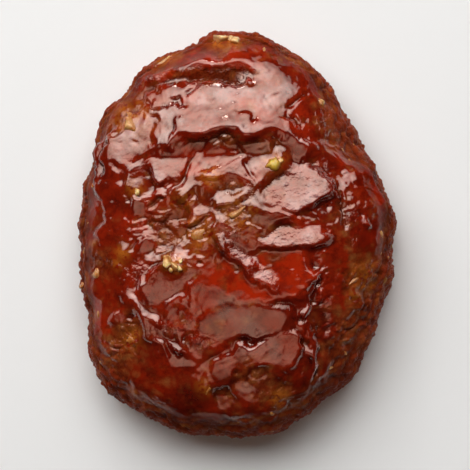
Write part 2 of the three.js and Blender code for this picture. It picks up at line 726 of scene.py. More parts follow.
@dataclass(frozen=True)
class Bit:
    """One bit of onion or pepper, at (x, y) on the top, turned about its normal.

    Attributes:
        x: Its middle along X.
        y: Its middle along Y.
        turn: The direction of its length, in degrees.
        cut: Its half sizes.
        size: How large it is, as a share of its cut.
        tone: Its colour, from 0, pale onion, to 1, green pepper.
        sunk: How deep its middle lies under the glaze, as a share of its half height.
    """

    x: float
    y: float
    turn: float
    cut: Cut
    size: float = 1.0
    tone: float = 0.4
    sunk: float = 0.3


@dataclass(frozen=True)
class Bubbles:
    """Small blisters and burst bubbles, strewn at random over the glaze's top.

    Attributes:
        count: How many are strewn evenly.
        seed: Chooses where they lie.
        half_area: How far out they are strewn, along X and Y.
        smallest: The least radius.
        largest: The greatest radius.
        burst_share: How many of them have burst, from 0 to 1.
        burst_depth: How deep a burst one is, as a share of its radius.
        blister_rise: How high a blister is, as a share of its radius.
        reach: How far from its middle one still counts.
        crowded: Middles, spreads and numbers of further ones that lie in crowds.
    """

    count: int = 240
    seed: int = 7
    half_area: tuple[float, float] = (38.0, 50.0)
    smallest: float = 0.32
    largest: float = 0.75
    burst_share: float = 0.45
    burst_depth: float = 0.55
    blister_rise: float = 0.4
    reach: float = 3.0
    crowded: tuple[tuple[float, float, float, int], ...] = (
        (-24.0, 38.5, 5.0, 16),
        (-13.0, 40.0, 4.0, 9),
        (-28.0, 5.0, 5.0, 14),
        (23.5, -14.0, 4.0, 16),
        (24.0, -30.0, 4.0, 12),
        (5.0, -5.0, 6.0, 18),
        (-6.0, -30.0, 6.0, 12),
        (-20.0, -6.0, 7.0, 14),
        (36.0, 6.0, 5.0, 10),
        (38.0, -20.0, 6.0, 14),
    )

    def lift(self, x: Array, y: Array) -> Array:
        """How far they lift the glaze: a bell each, upwards for a blister, downwards when burst.

        Args:
            x: Places along X.
            y: Places along Y.

        Returns:
            The lift at each place.
        """
        draw = np.random.default_rng(self.seed)
        corner = np.array(self.half_area)
        middles = [draw.uniform(-corner, corner, size=(self.count, 2))]
        for middle_x, middle_y, spread, count in self.crowded:
            middles.append(draw.normal((middle_x, middle_y), spread, size=(count, 2)))
        total = np.zeros(len(x))
        for middle_x, middle_y in np.concatenate(middles):
            radius = draw.uniform(self.smallest, self.largest)
            burst = draw.random() < self.burst_share
            rise = -self.burst_depth * radius if burst else self.blister_rise * radius
            near = (np.abs(x - middle_x) < self.reach) & (np.abs(y - middle_y) < self.reach)
            total[near] += rise * bell(np.hypot(x[near] - middle_x, y[near] - middle_y), radius)
        return total


@dataclass(frozen=True)
class Patch:
    """A round patch of the top, at (x, y), where something is done to the glaze to some depth."""

    x: float
    y: float
    radius: float
    depth: float

    def near(self, x: Array, y: Array) -> Array:
        """1 at its middle, falling off over its radius as a bell."""
        return bell(np.hypot(x - self.x, y - self.y), self.radius)


@dataclass(frozen=True)
class Pad:
    """A smooth slab of glaze: a rounded piece of a plane that leans its own way.

    Attributes:
        x: Its middle along X.
        y: Its middle along Y.
        long: Half its length.
        wide: Half its width.
        turn: The direction of its length, in degrees from +X.
        lean_x: How far it faces +X, in degrees.
        lean_y: How far it faces +Y, in degrees.
        lift: How high its middle stands over the form.
        grit: How rough it is, from 0 to 1.
        bright: How fresh and red its glaze is, from 0 to 1.
        firm: How far its plane replaces what is there, from 0 to 1.
    """

    x: float
    y: float
    long: float
    wide: float
    turn: float
    lean_x: float
    lean_y: float
    lift: float = 0.2
    grit: float = 0.0
    bright: float = 0.3
    firm: float = 1.0

    EDGE: ClassVar[float] = 2.1  # how wide every slab's soft edge is
    WIDEST_EDGE: ClassVar[float] = 0.45  # the most that it is, as a share of half the slab's width
    FULLNESS: ClassVar[float] = 2.3  # 2 is an ellipse, and more is squarer

    def share(self, x: Array, y: Array) -> Array:
        """1 on the slab and 0 off it: an oval's radius, run through an S over the edge.

        Args:
            x: Places along X.
            y: Places along Y.

        Returns:
            The slab's share at each place.
        """
        cos, sin = math.cos(math.radians(self.turn)), math.sin(math.radians(self.turn))
        along = np.abs((x - self.x) * cos + (y - self.y) * sin) / self.long
        across = np.abs((y - self.y) * cos - (x - self.x) * sin) / self.wide
        far = (along**self.FULLNESS + across**self.FULLNESS) ** (1.0 / self.FULLNESS)
        soft = min(self.EDGE / (2.0 * min(self.long, self.wide)), self.WIDEST_EDGE)
        return 1.0 - smoothstep(far, 1.0 - soft, 1.0 + soft)

    def plane(self, x: Array, y: Array) -> Array:
        """The slab's height over its own middle: minus each lean's tangent times the distance."""
        fall_x, fall_y = math.tan(math.radians(self.lean_x)), math.tan(math.radians(self.lean_y))
        return -fall_x * (x - self.x) - fall_y * (y - self.y)


@dataclass(frozen=True)
class Crumble:
    """How the ground meat breaks up.

    Attributes:
        depth: How deep the meat lies under the form's skin.
        bend: The size and the reach of the warp that makes its granules uneven.
        stretch: How much narrower the granules are along X, Y and Z.
        granule: How wide a granule is.
        granule_rise: How high it stands.
        crumb: How wide a crumb is.
        crumb_rise: How high it stands.
        crumb_scale: How much tighter the crumbs lie than their width.
        crumb_shift: Where in the noise the crumbs are read.
        clumps: The clumps that the granules lie in.
        crack: How far apart the cracks are.
        crack_shift: Where in the noise the cracks are read.
        crack_depth: How deep they are.
        shoulder: The places between which the meat comes up to the side.
        side_rise: How far it comes up there.
        scraped_rise: How far it comes up under a thin patch of glaze.
        most_rise: The most that it comes up.
    """

    depth: float = 1.9
    bend: tuple[float, float] = (5.0, 1.5)
    stretch: tuple[float, float, float] = (0.8, 1.0, 1.15)
    granule: float = 2.7
    granule_rise: float = 0.85
    crumb: float = 1.3
    crumb_rise: float = 0.4
    crumb_scale: float = 1.03
    crumb_shift: float = 5.0
    clumps: Cloud = Cloud(0.9, 0.0, 9.0, 3, 0.6)
    crack: float = 13.0
    crack_shift: float = 70.0
    crack_depth: float = 0.9
    shoulder: tuple[float, float] = (0.62, 0.84)
    side_rise: float = 1.1
    scraped_rise: float = 0.55
    most_rise: float = 1.3


@dataclass(frozen=True)
class Pour:
    """How the glaze lies where nothing else shapes it.

    Attributes:
        bends: Sizes and reaches of the warps that make its creases and slabs uneven.
        swells: Slow swells over all of it.
        rolls: Low rolls on the slabs.
        gritty_spots: Where it is gritty.
        fresh_spots: Where it is fresh and red.
        fresh_flecks: Smaller flecks of the same.
        pulp: The lumps of pulp in its gritty spots.
        chips: Rises, shifts and sizes of the facets where it is broken up.
        chip_slope: How steep a facet is.
        wrinkle: How far apart its wrinkles are.
        wrinkle_rise: How high they are.
        steepest_slab: The most that a slab moves it.
        bit_rise: How far a bit under it lifts it.
        edge_place: The place on the section where it ends, before the tongues.
        held_back: Where it ends higher up, as shares of the section.
        tongues: How it runs down in tongues, and the circle that they are read on.
        ragged: How ragged its edge is.
        dive: How deep it dives into the meat past its edge.
    """

    bends: tuple[tuple[float, float], ...] = ((7.0, 2.4), (2.4, 0.7), (1.2, 0.35))
    swells: Cloud = Cloud(0.3, 9.0, 15.0)
    rolls: tuple[Cloud, ...] = (Cloud(0.17, 50.0, 6.0), Cloud(0.04, -50.0, 2.0, 1))
    gritty_spots: Cloud = Cloud(1.0, 61.0, 13.0, 3)
    fresh_spots: Cloud = Cloud(0.5, 21.0, 16.0)
    fresh_flecks: Cloud = Cloud(0.3, 33.0, 4.5, 3)
    pulp: Cloud = Cloud(0.3, 3.0, 2.2)
    chips: tuple[tuple[float, float, float], ...] = ((0.85, 7.0, 4.6), (0.5, -7.0, 2.0), (0.45, 19.0, 1.3))
    chip_slope: float = 0.5
    wrinkle: float = 6.0
    wrinkle_rise: float = 0.3
    steepest_slab: float = 2.2
    bit_rise: float = 0.5
    edge_place: float = 0.83
    held_back: tuple[Bulge, ...] = (
        Bulge(-32, 26, -0.10),
        Bulge(38, 14, -0.06),
        Bulge(-78, 24, -0.08),
        Bulge(-125, 20, -0.07),
    )
    tongues: Cloud = Cloud(0.075, 0.0, 9.0, 3, 0.6)
    tongue_circle: float = 26.0
    ragged: Cloud = Cloud(0.012, 40.0, 4.0)
    dive: float = 3.6


@dataclass
class Surfaces:
    """Heights of the meat and of the glaze over the form's skin, in millimetres.

    Attributes:
        form: The loaf's overall shape.
        grain: The noise that everything uneven is read from.
        crumble: How the meat breaks up.
        pour: How the glaze lies.
        bubbles: Blisters and burst bubbles in the glaze.
        calm_areas: Where the glaze is smoother.
        broken_areas: Where it is broken up into chips.
        bits: Bits of onion and pepper in it.
        thin_patches: Where it is scraped thin.
        creases: Its finer folds and pits.
        ribs: Low ribs that lie over the slabs.
        pads: Its smooth slabs, in the order in which they are laid.
    """

    form: LoafForm
    grain: Grain = field(default_factory=lambda: Grain(SEED))
    crumble: Crumble = Crumble()
    pour: Pour = Pour()
    bubbles: Bubbles = Bubbles()
    calm_areas: tuple[Patch, ...] = (
        Patch(2, 38, 16, 0.5),
        Patch(-33, 27, 10, 0.6),
        Patch(-37, 6, 12, 0.8),
        Patch(-36, -10, 8, 0.8),
        Patch(-14, -44, 9, 0.35),
        Patch(3, -30, 14, 0.5),
    )
    broken_areas: tuple[Patch, ...] = (
        Patch(-19, 4, 11, 1.0),
        Patch(-26, 12, 5, 0.8),
        Patch(-1, 14, 5, 0.6),
        Patch(24.5, -30, 5.5, 0.9),
        Patch(24, -17, 5, 0.9),
        Patch(-33, -32, 7, 0.6),
        Patch(-12, -31, 5, 0.4),
        Patch(26, 11, 3.5, 0.2),
        Patch(32, 12, 7, 0.35),
        Patch(36, -16, 8, 0.5),
        Patch(18, -45, 8, 0.5),
        Patch(-24, 38, 4, 0.4),
        Patch(29, 33, 7, 0.5),
        Patch(-4, 56, 8, 0.6),
    )
    bits: tuple[Bit, ...] = (
        Bit(11.2, 20.6, 35, Cut.DICE, 1.8, 0.95, 0.4),
        Bit(13.4, 21.6, 80, Cut.CRUMB, 1.5, 0.1, 0.6),
        Bit(-30.3, 33.0, 55, Cut.CHUNK, 2.4, 0.3, 0.6),
        Bit(-18.2, -7.4, 10, Cut.DICE, 1.2, 0.0, 0.2),
        Bit(-16.4, -8.2, 75, Cut.DICE, 1.1, 0.0, 0.3),
        Bit(-15.3, -9.2, 60, Cut.CRUMB, 1.4, 0.0, 0.3),
        Bit(-18.7, -6.0, 100, Cut.CRUMB, 1.3, 0.0, 0.3),
        Bit(-14.8, -7.0, 20, Cut.CRUMB, 1.1, 0.0, 0.2),
        Bit(-17.6, -9.2, 20, Cut.CRUMB, 1.2, 0.2, 0.3),
        Bit(-4.2, 57.2, 8, Cut.DICE, 1.6, 0.1, 0.2),
        Bit(-1.6, 57.4, 60, Cut.CRUMB, 1.9, 0.1, 0.3),
        Bit(0.6, 56.4, -15, Cut.DICE, 1.3, 0.3, 0.3),
        Bit(-21.0, 51.8, 16, Cut.SLIVER, 1.1, 0.5, 0.6),
        Bit(1.8, 7.0, -25, Cut.SLIVER, 1.6, 0.5, 0.45),
        Bit(-8.9, 0.0, 80, Cut.CHUNK, 2.0, 0.6, 0.8),
        Bit(-13.5, 10.0, 0, Cut.CHUNK, 1.4, 0.75, 1.4),
        Bit(-6.2, 16.2, 40, Cut.DICE, 1.5, 0.75, 0.9),
        Bit(-28.0, 13.0, 40, Cut.CRUMB, 1.6, 0.3, 0.4),
        Bit(-29.9, -29.8, 40, Cut.CHUNK, 1.4, 0.4, 0.7),
        Bit(-8.3, -44.1, 70, Cut.DICE, 1.2, 0.4, 0.8),
        Bit(13.3, -46.7, 20, Cut.CHUNK, 1.1, 0.8, 1.1),
        Bit(-31.5, -5.2, 60, Cut.DICE, 1.2, 0.75, 1.1),
        Bit(-33.0, -8.4, 60, Cut.DICE, 1.0, 0.75, 1.3),
        Bit(38.0, -12.3, -60, Cut.SLIVER, 1.2, 0.7, 0.8),
        Bit(35.5, -17.5, 50, Cut.DICE, 1.2, 0.6, 0.9),
    )
    thin_patches: tuple[Patch, ...] = (
        Patch(-20, 2, 4.5, 0.9),
        Patch(-17, -4, 3.5, 0.9),
        Patch(-10, 1, 3.5, 0.6),
        Patch(-30, 33, 3.0, 0.8),
        Patch(-30, -29, 4.5, 1.0),
        Patch(-36, -36, 6, 1.0),
        Patch(-1, 14.5, 3.5, 0.9),
        Patch(1, 6.5, 3.0, 0.9),
        Patch(32, 33, 7, 0.9),
        Patch(38, -12, 7, 0.9),
        Patch(33, -30, 8, 1.2),
        Patch(13, -47, 5, 0.8),
        Patch(-3, 57, 5, 1.3),
        Patch(-39, -8, 5, 0.8),
    )
    creases: tuple[Fold, ...] = (
        Fold(-1, 30.2, -1, 25, 5, 1.4, 0.8, 0.009),
        Fold(0, 26.5, -1, 20, 1.8, 2.2, -0.7, 0.009),
        Fold(-9, 46.2, 1, 14, 1.9, 1.9, -1.5, 0.008),
        Fold(-9.5, 49.0, 9, 15, 1.3, 1.3, 0.5, 0.008),
        Fold(-13.8, 17.5, 62, 5, 0.8, 0.8, -0.8),
        Fold(4.5, 20.5, -60, 4, 0.9, 0.9, -0.7),
        Fold(-26.3, -24.5, -58, 12, 1.3, 0.9, 0.8),
        Fold(-23.5, -27.5, -50, 8, 0.8, 0.8, -0.5),
        Fold(-16.6, -31.5, -23, 4.5, 1.0, 1.2, 0.7),
        Fold(-22.3, -24.5, -30, 2.0, 0.9, 1.0, 0.6),
        Fold(7.6, -29.1, 26, 13, 1.3, 1.2, -1.0),
        Fold(14.7, -36.3, -18, 3.6, 0.8, 0.7, -0.9),
        Fold(24, -24, -86, 18, 1.5, 1.5, -0.45),
        Fold(22.5, -30, -80, 8, 0.7, 0.7, 0.6),
        Fold(41, 14, -67, 9, 1.2, 1.4, 0.8),
        Fold(31, 6, -76, 8, 0.8, 0.8, -0.7),
        Fold(18, 38.5, 35, 4, 0.9, 0.9, -0.6),
        Fold(17, 32, -15, 3, 0.9, 0.9, -0.7),
        Fold(-26.5, 39.6, 30, 1.6, 0.8, 0.7, -0.7),
        Fold(-23.5, 41.6, 5, 1.7, 0.8, 0.7, -0.7),
        Fold(-19.6, 37.4, -20, 1.4, 0.7, 0.7, -0.6),
        Fold(-15.6, 38.6, 4, 2.6, 0.8, 0.7, -0.9),
        Fold(-10.6, 41.2, 45, 2.0, 0.7, 0.7, -0.8),
        Fold(-12.5, 38.0, -30, 1.3, 0.7, 0.6, -0.6),
        Fold(-24.2, 33.4, 60, 1.6, 0.7, 0.7, -0.7),
        Fold(4.4, 35.2, -12, 2.2, 0.7, 0.6, -0.4),
        Fold(10.0, 39.0, 38, 8.0, 2.2, 1.6, -0.35),
    )
    ribs: tuple[Fold, ...] = (
        Fold(-2.4, 1.0, -66, 6.0, 1.9, 1.3, 0.25, 0.01),
        Fold(5.0, -9.6, -42, 8.0, 1.9, 1.2, 0.25),
    )
    pads: tuple[Pad, ...] = (
        Pad(-21.0, 31.5, 5.5, 5.0, 30, -5, 12, 0.1, 0.1, 0.2, 0.7),
        Pad(-30.0, 26.5, 10.5, 5.0, 46, -10, 9.5, 0.0, 0.1, 0.3, 0.8),
        Pad(-9.5, 45.8, 15.0, 1.8, 1, 0, -10, -1.0, 1.0, 0.6),
        Pad(-19.3, 18, 4.6, 2.8, 25, -3, 13, 0.3, 0.2),
        Pad(-9.5, 14.5, 6.5, 2.4, 28, -2, 12, 0.2, 0.1),
        Pad(-2.0, 18.6, 7.5, 1.9, 16, 0, 14, 0.4, 0.15),
        Pad(-10.2, 24.8, 3.4, 1.9, 0, 0, -6, -0.4),
        Pad(-27, 16, 5.0, 5.0, 0, -4, 1, 0.0, 0.1, 0.2),
        Pad(4.5, 12.0, 3.6, 4.2, 0, 0, 0, -0.3, 0.3, 0.1),
        Pad(-0.5, 10.6, 5.0, 1.7, 12, -1, 12, 0.3, 0.1),
        Pad(-9.0, 6.6, 5.0, 1.5, 35, -3, 12, 0.3, 0.2),
        Pad(-3, 26, 4.0, 1.6, 0, 0, -6, -0.6),
        Pad(16.8, 25.4, 7.0, 2.4, -24, 0, -6, -0.4),
        Pad(8, -11.5, 16, 7.4, 0, 0, 1, 0.0, 0.0, 0.85),
        Pad(18.7, 13.2, 9.8, 5.8, 6, 0, 14, 0.1, 0.35),
        Pad(17, -0.8, 9.8, 3.5, -4, -1, 15, 0.2, 0.4),
        Pad(12.0, 4.9, 6.2, 2.2, -5, 0, -7, 0.0, 0.1, 0.2),
        Pad(-3.4, 3.6, 4.2, 1.6, -78, 6, 12, 0.3, 0.35, 0.3),
        Pad(-0.8, -2.6, 4.6, 2.0, -58, 6, 12, 0.5, 0.45, 0.5),
        Pad(4.0, -7.8, 4.8, 2.1, -44, 5, 12, 0.5, 0.5, 0.6),
        Pad(9.6, -12.0, 5.2, 1.7, -33, 4, 12, 0.4, 0.5, 0.7),
        Pad(-18.4, -14.1, 9.0, 4.2, 22, 1, -8, 0.1, 0.15),
        Pad(-25.2, -4.3, 2.9, 2.4, 0, 1, -8, 0.1),
        Pad(-26.3, 7.6, 2.6, 2.8, 0, 1, -8, 0.1),
        Pad(-16.2, 6.4, 3.0, 1.5, 0, 1, -8, 0.0),
        Pad(-14.6, 0.4, 1.8, 3.0, 10, 1, -8, -0.1),
        Pad(-20.3, 0.6, 2.0, 2.8, -10, 1, -8, -0.1, 0.3),
        Pad(-0.6, 14.8, 4.6, 3.0, 5, 1, -8, -0.1, 0.1, 0.2),
        Pad(-34.4, 3.5, 3.9, 16.0, 4, -20, 0, -0.2, 0.0, 0.35, 0.9),
        Pad(-37.6, 23.0, 7.5, 1.1, 78, -10, 12, 0.2, 0.1, 0.2),
        Pad(3.6, -25.3, 13.5, 4.8, 3, 0, -6.5, 0.0, 0.05, 0.15),
        Pad(12.6, -33.6, 9.0, 5.0, 18, 1, -9, -0.1, 0.1),
        Pad(1.0, -38.6, 5.4, 6.4, 0, 0, -11.5, -0.3),
        Pad(-14.9, -36.1, 4.0, 2.4, -20, -3, -7, 0.1),
        Pad(-1.7, -48.8, 4.6, 4.2, 0, 0, -11, -0.5),
        Pad(6.0, -43.2, 5.8, 5.2, 20, 0, -11, -0.4),
        Pad(-32.5, -24.7, 2.4, 3.0, -20, -6, -6, 0.1, 0.2),
        Pad(21.6, -33.0, 4.0, 1.1, -70, 2, 14, 0.4),
        Pad(23.4, -41.5, 2.6, 1.3, 65, 4, 8, 0.2),
        Pad(20.8, -20.8, 2.6, 1.1, 40, 0, 13, 0.4),
        Pad(-21.8, -24.4, 2.8, 1.4, -28, 2, 14, 0.5),
        Pad(-16.8, -31.6, 4.2, 1.4, -32, 2, 14, 0.4),
        Pad(36.2, -19.4, 1.8, 1.4, 60, 6, 13, 0.3, 0.3),
        Pad(38.0, 5.0, 2.0, 1.0, -60, 6, 13, 0.3, 0.3),
    )

    def meat(self, points: Array, place: Array) -> tuple[Array, Array]:
        """How high the meat stands, and each granule's tone from 0 to 1.

        Round granules, each a dome over one cell, lie in clumps, with finer crumbs over them and
        deep cracks where the clumps part. The meat comes up under thin patches and down the side.

        Args:
            points: The form's skin.
            place: Each point's place on the section.

        Returns:
            Heights over the skin, and tones, lower near a granule's edge as painted shade.
        """
        crumble = self.crumble
        bent = self.grain.warp(points, *crumble.bend)
        near, second, number, _ = self.grain.cells(bent * np.array(crumble.stretch), crumble.granule)
        fine, *_ = self.grain.cells(bent * crumble.crumb_scale + crumble.crumb_shift, crumble.crumb)
        granules = crumble.granule_rise * (1.0 - smoothstep(near, 0.1, 0.95))
        crumbs = crumble.crumb_rise * (1.0 - smoothstep(fine, 0.1, 0.9))
        clumps = crumble.clumps.over(self.grain, points)
        parted = self.grain.creased(points + crumble.crack_shift, crumble.crack)
        cracks = crumble.crack_depth * smoothstep(parted, 0.72, 0.95)
        height = granules + crumbs + clumps - cracks - crumble.depth
        raised = crumble.side_rise * smoothstep(place, *crumble.shoulder)
        for patch in self.thin_patches:
            raised = raised + crumble.scraped_rise * patch.near(points[:, 0], points[:, 1])
        # A granule's own random tone, lowered near its edge with the next: the darker edges are painted
        # shade.
        tone = 0.7 * number / 255.0 + 0.3 * smoothstep(second - near, 0.0, 0.5)
        return height + np.minimum(raised, crumble.most_rise), np.clip(tone, 0.0, 1.0)

    def edge(self, points: Array, angle: Array) -> Array:
        """The place on the section where the glaze ends, in each direction.

        It reaches past the waist all round but on the right, where it stops at the shoulder, and
        runs down in tongues where noise round the side is high.

        Args:
            points: The form's skin.
            angle: Each point's direction.

        Returns:
            The edge's place for each point.
        """
        pour = self.pour
        reach = pour.edge_place + sum(bulge.push(np.degrees(angle)) for bulge in pour.held_back)
        around = np.stack([np.cos(angle), np.sin(angle), np.zeros(len(angle))], axis=1)
        tongues = pour.tongues.over(self.grain, around * pour.tongue_circle)
        return reach + tongues + pour.ragged.over(self.grain, points)

    def glaze(self, points: Array, place: Array, angle: Array) -> tuple[Array, Array, Array, Array]:
        """How high the glaze stands, how gritty, how bright and how thin it is.

        Slow swells and creases roll over it, smooth slabs lie on it, it is broken into chips
        between them, it sinks where it is scraped thin, and it dives into the meat past its edge.

        Args:
            points: The form's skin.
            place: Each point's place on the section.
            angle: Each point's direction.

        Returns:
            Heights over the skin, and grit, brightness and bareness from 0 to 1.
        """
        pour, grain = self.pour, self.grain
        x, y = points[:, 0], points[:, 1]
        bent = points
        for size, reach in pour.bends:
            bent = grain.warp(bent, size, reach)
        calm = np.ones(len(points))
        for patch in self.calm_areas:
            calm = calm * (1.0 - patch.depth * patch.near(x, y))
        height = sum(fold.lift(bent[:, 0], bent[:, 1]) for fold in self.creases)
        height = height + calm * pour.swells.over(grain, bent)
        grit = 0.5 * smoothstep(pour.gritty_spots.over(grain, points), 0.15, 0.45)
        bright = 0.42 + pour.fresh_spots.over(grain, points)
        height, grit, bright, free = self._lay_slabs(points, bent, height, grit, bright)
        height = height + sum(rib.lift(bent[:, 0], bent[:, 1]) for rib in self.ribs)
        height = height + free * np.minimum(calm + 0.35, 1.0) * self._chips(bent)
        bright = bright + pour.fresh_flecks.over(grain, points)
        calm = calm * (0.1 + 0.9 * free)
        wrinkles = grain.creased(bent * np.array([0.7, 1.0, 1.0]) - 12.0, pour.wrinkle) - 0.4
        height = height + calm * pour.wrinkle_rise * wrinkles
        height = height + (0.25 + 0.75 * calm) * self.bubbles.lift(x, y)
        for bit in self.bits:
            height = height + pour.bit_rise * bell(np.hypot(x - bit.x, y - bit.y), 2.0 * bit.size)
        edge = self.edge(points, angle)
        thin = 1.3 * smoothstep(place, edge - 0.14, edge - 0.03)
        for patch in self.thin_patches:
            thin = thin + patch.depth * patch.near(bent[:, 0], bent[:, 1])
        grit = np.maximum(grit, 0.6 * smoothstep(thin, 0.2, 0.9))
        height = height - thin + grit * pour.pulp.over(grain, points)
        meat, _ = self.meat(points, place)
        height = smooth_ceiling(height, 0.85 * meat - 0.05, 0.4)
        height = height - pour.dive * smoothstep(place, edge - 0.02, edge + 0.03)
        low_down = smoothstep(place, 0.58, 0.74) * np.maximum(free, smoothstep(place, 0.84, 0.9))
        bare = np.maximum(np.clip(0.45 * thin, 0.0, 0.8), low_down)
        bare = np.maximum(bare, smoothstep(grit, 0.6, 0.95))
        return height, np.clip(grit, 0.0, 1.0), np.clip(bright, 0.0, 1.0), bare

    def _lay_slabs(
        self, points: Array, bent: Array, height: Array, grit: Array, bright: Array
    ) -> tuple[Array, Array, Array, Array]:
        """Lays the smooth slabs on the glaze, one after another.

        As far as a slab's share goes, its plane and its low rolls take the place of the height,
        by no more than the steepest slab, and its grit and brightness take the place of theirs.

        Args:
            points: The form's skin.
            bent: The same, warped, where the slabs' outlines are read.
            height: The glaze's height so far.
            grit: How gritty it is so far.
            bright: How bright it is so far.

        Returns:
            The new height, grit and brightness, and how free of slabs each point is, from 0 to 1.
        """
        most = self.pour.steepest_slab
        rolls = sum(cloud.over(self.grain, bent) for cloud in self.pour.rolls)
        free = np.ones(len(points))
        for pad in self.pads:
            share = pad.share(bent[:, 0], bent[:, 1])
            level = self.form.level(pad.x, pad.y) + pad.lift
            target = level + rolls + pad.plane(points[:, 0], points[:, 1]) - points[:, 2]
            height = height + share * pad.firm * np.clip(target - height, -most, most)
            grit = grit + share * (pad.grit - grit)
            bright = bright + share * (pad.bright - bright)
            free = free * (1.0 - 0.9 * share * pad.firm)
        return height, grit, bright, free

    def _chips(self, bent: Array) -> Array:
        """Facets of several sizes, as high as the broken area that they lie in is deep.

        Args:
            bent: The form's skin, warped.

        Returns:
            The chips' height at each point.
        """
        broken = np.zeros(len(bent))
        for patch in self.broken_areas:
            broken = np.maximum(broken, patch.depth * patch.near(bent[:, 0], bent[:, 1]))
        chips = np.zeros(len(bent))
        for rise, shift, size in self.pour.chips:
            chips = chips + rise * self.grain.facets(bent + shift, size, self.pour.chip_slope)
        return broken * chips


# ---------------------------------------------------------------------------------------------
# Shader tools
# ---------------------------------------------------------------------------------------------


class Wire:
    """A socket of a node tree. Arithmetic on it adds Math nodes."""

    def __init__(self, bench: Bench, socket: bpy.types.NodeSocket) -> None:
        """Wraps a socket of the bench's tree."""
        self.bench = bench
        self.socket = socket

    def _with(self, operation: str, first: Wire | float, second: Wire | float) -> Wire:
        """A Math node on two values."""
        return self.bench.add("ShaderNodeMath", {"operation": operation}, {0: first, 1: second})

    def __add__(self, other: Wire | float) -> Wire:
        """This plus other."""
        return self._with("ADD", self, other)

    __radd__ = __add__

    def __mul__(self, other: Wire | float) -> Wire:
        """This times other."""
        return self._with("MULTIPLY", self, other)

    __rmul__ = __mul__

    def between(self, low: float, high: float, start: float = 0.0, end: float = 1.0) -> Wire:
        """This, smoothly remapped from low to high onto start to end, and clamped there."""
        settings = {"interpolation_type": "SMOOTHSTEP"}
        sockets = {"Value": self, 1: low, 2: high, 3: start, 4: end}
        return self.bench.add("ShaderNodeMapRange", settings, sockets)


Value = Wire | float | tuple[float, ...]


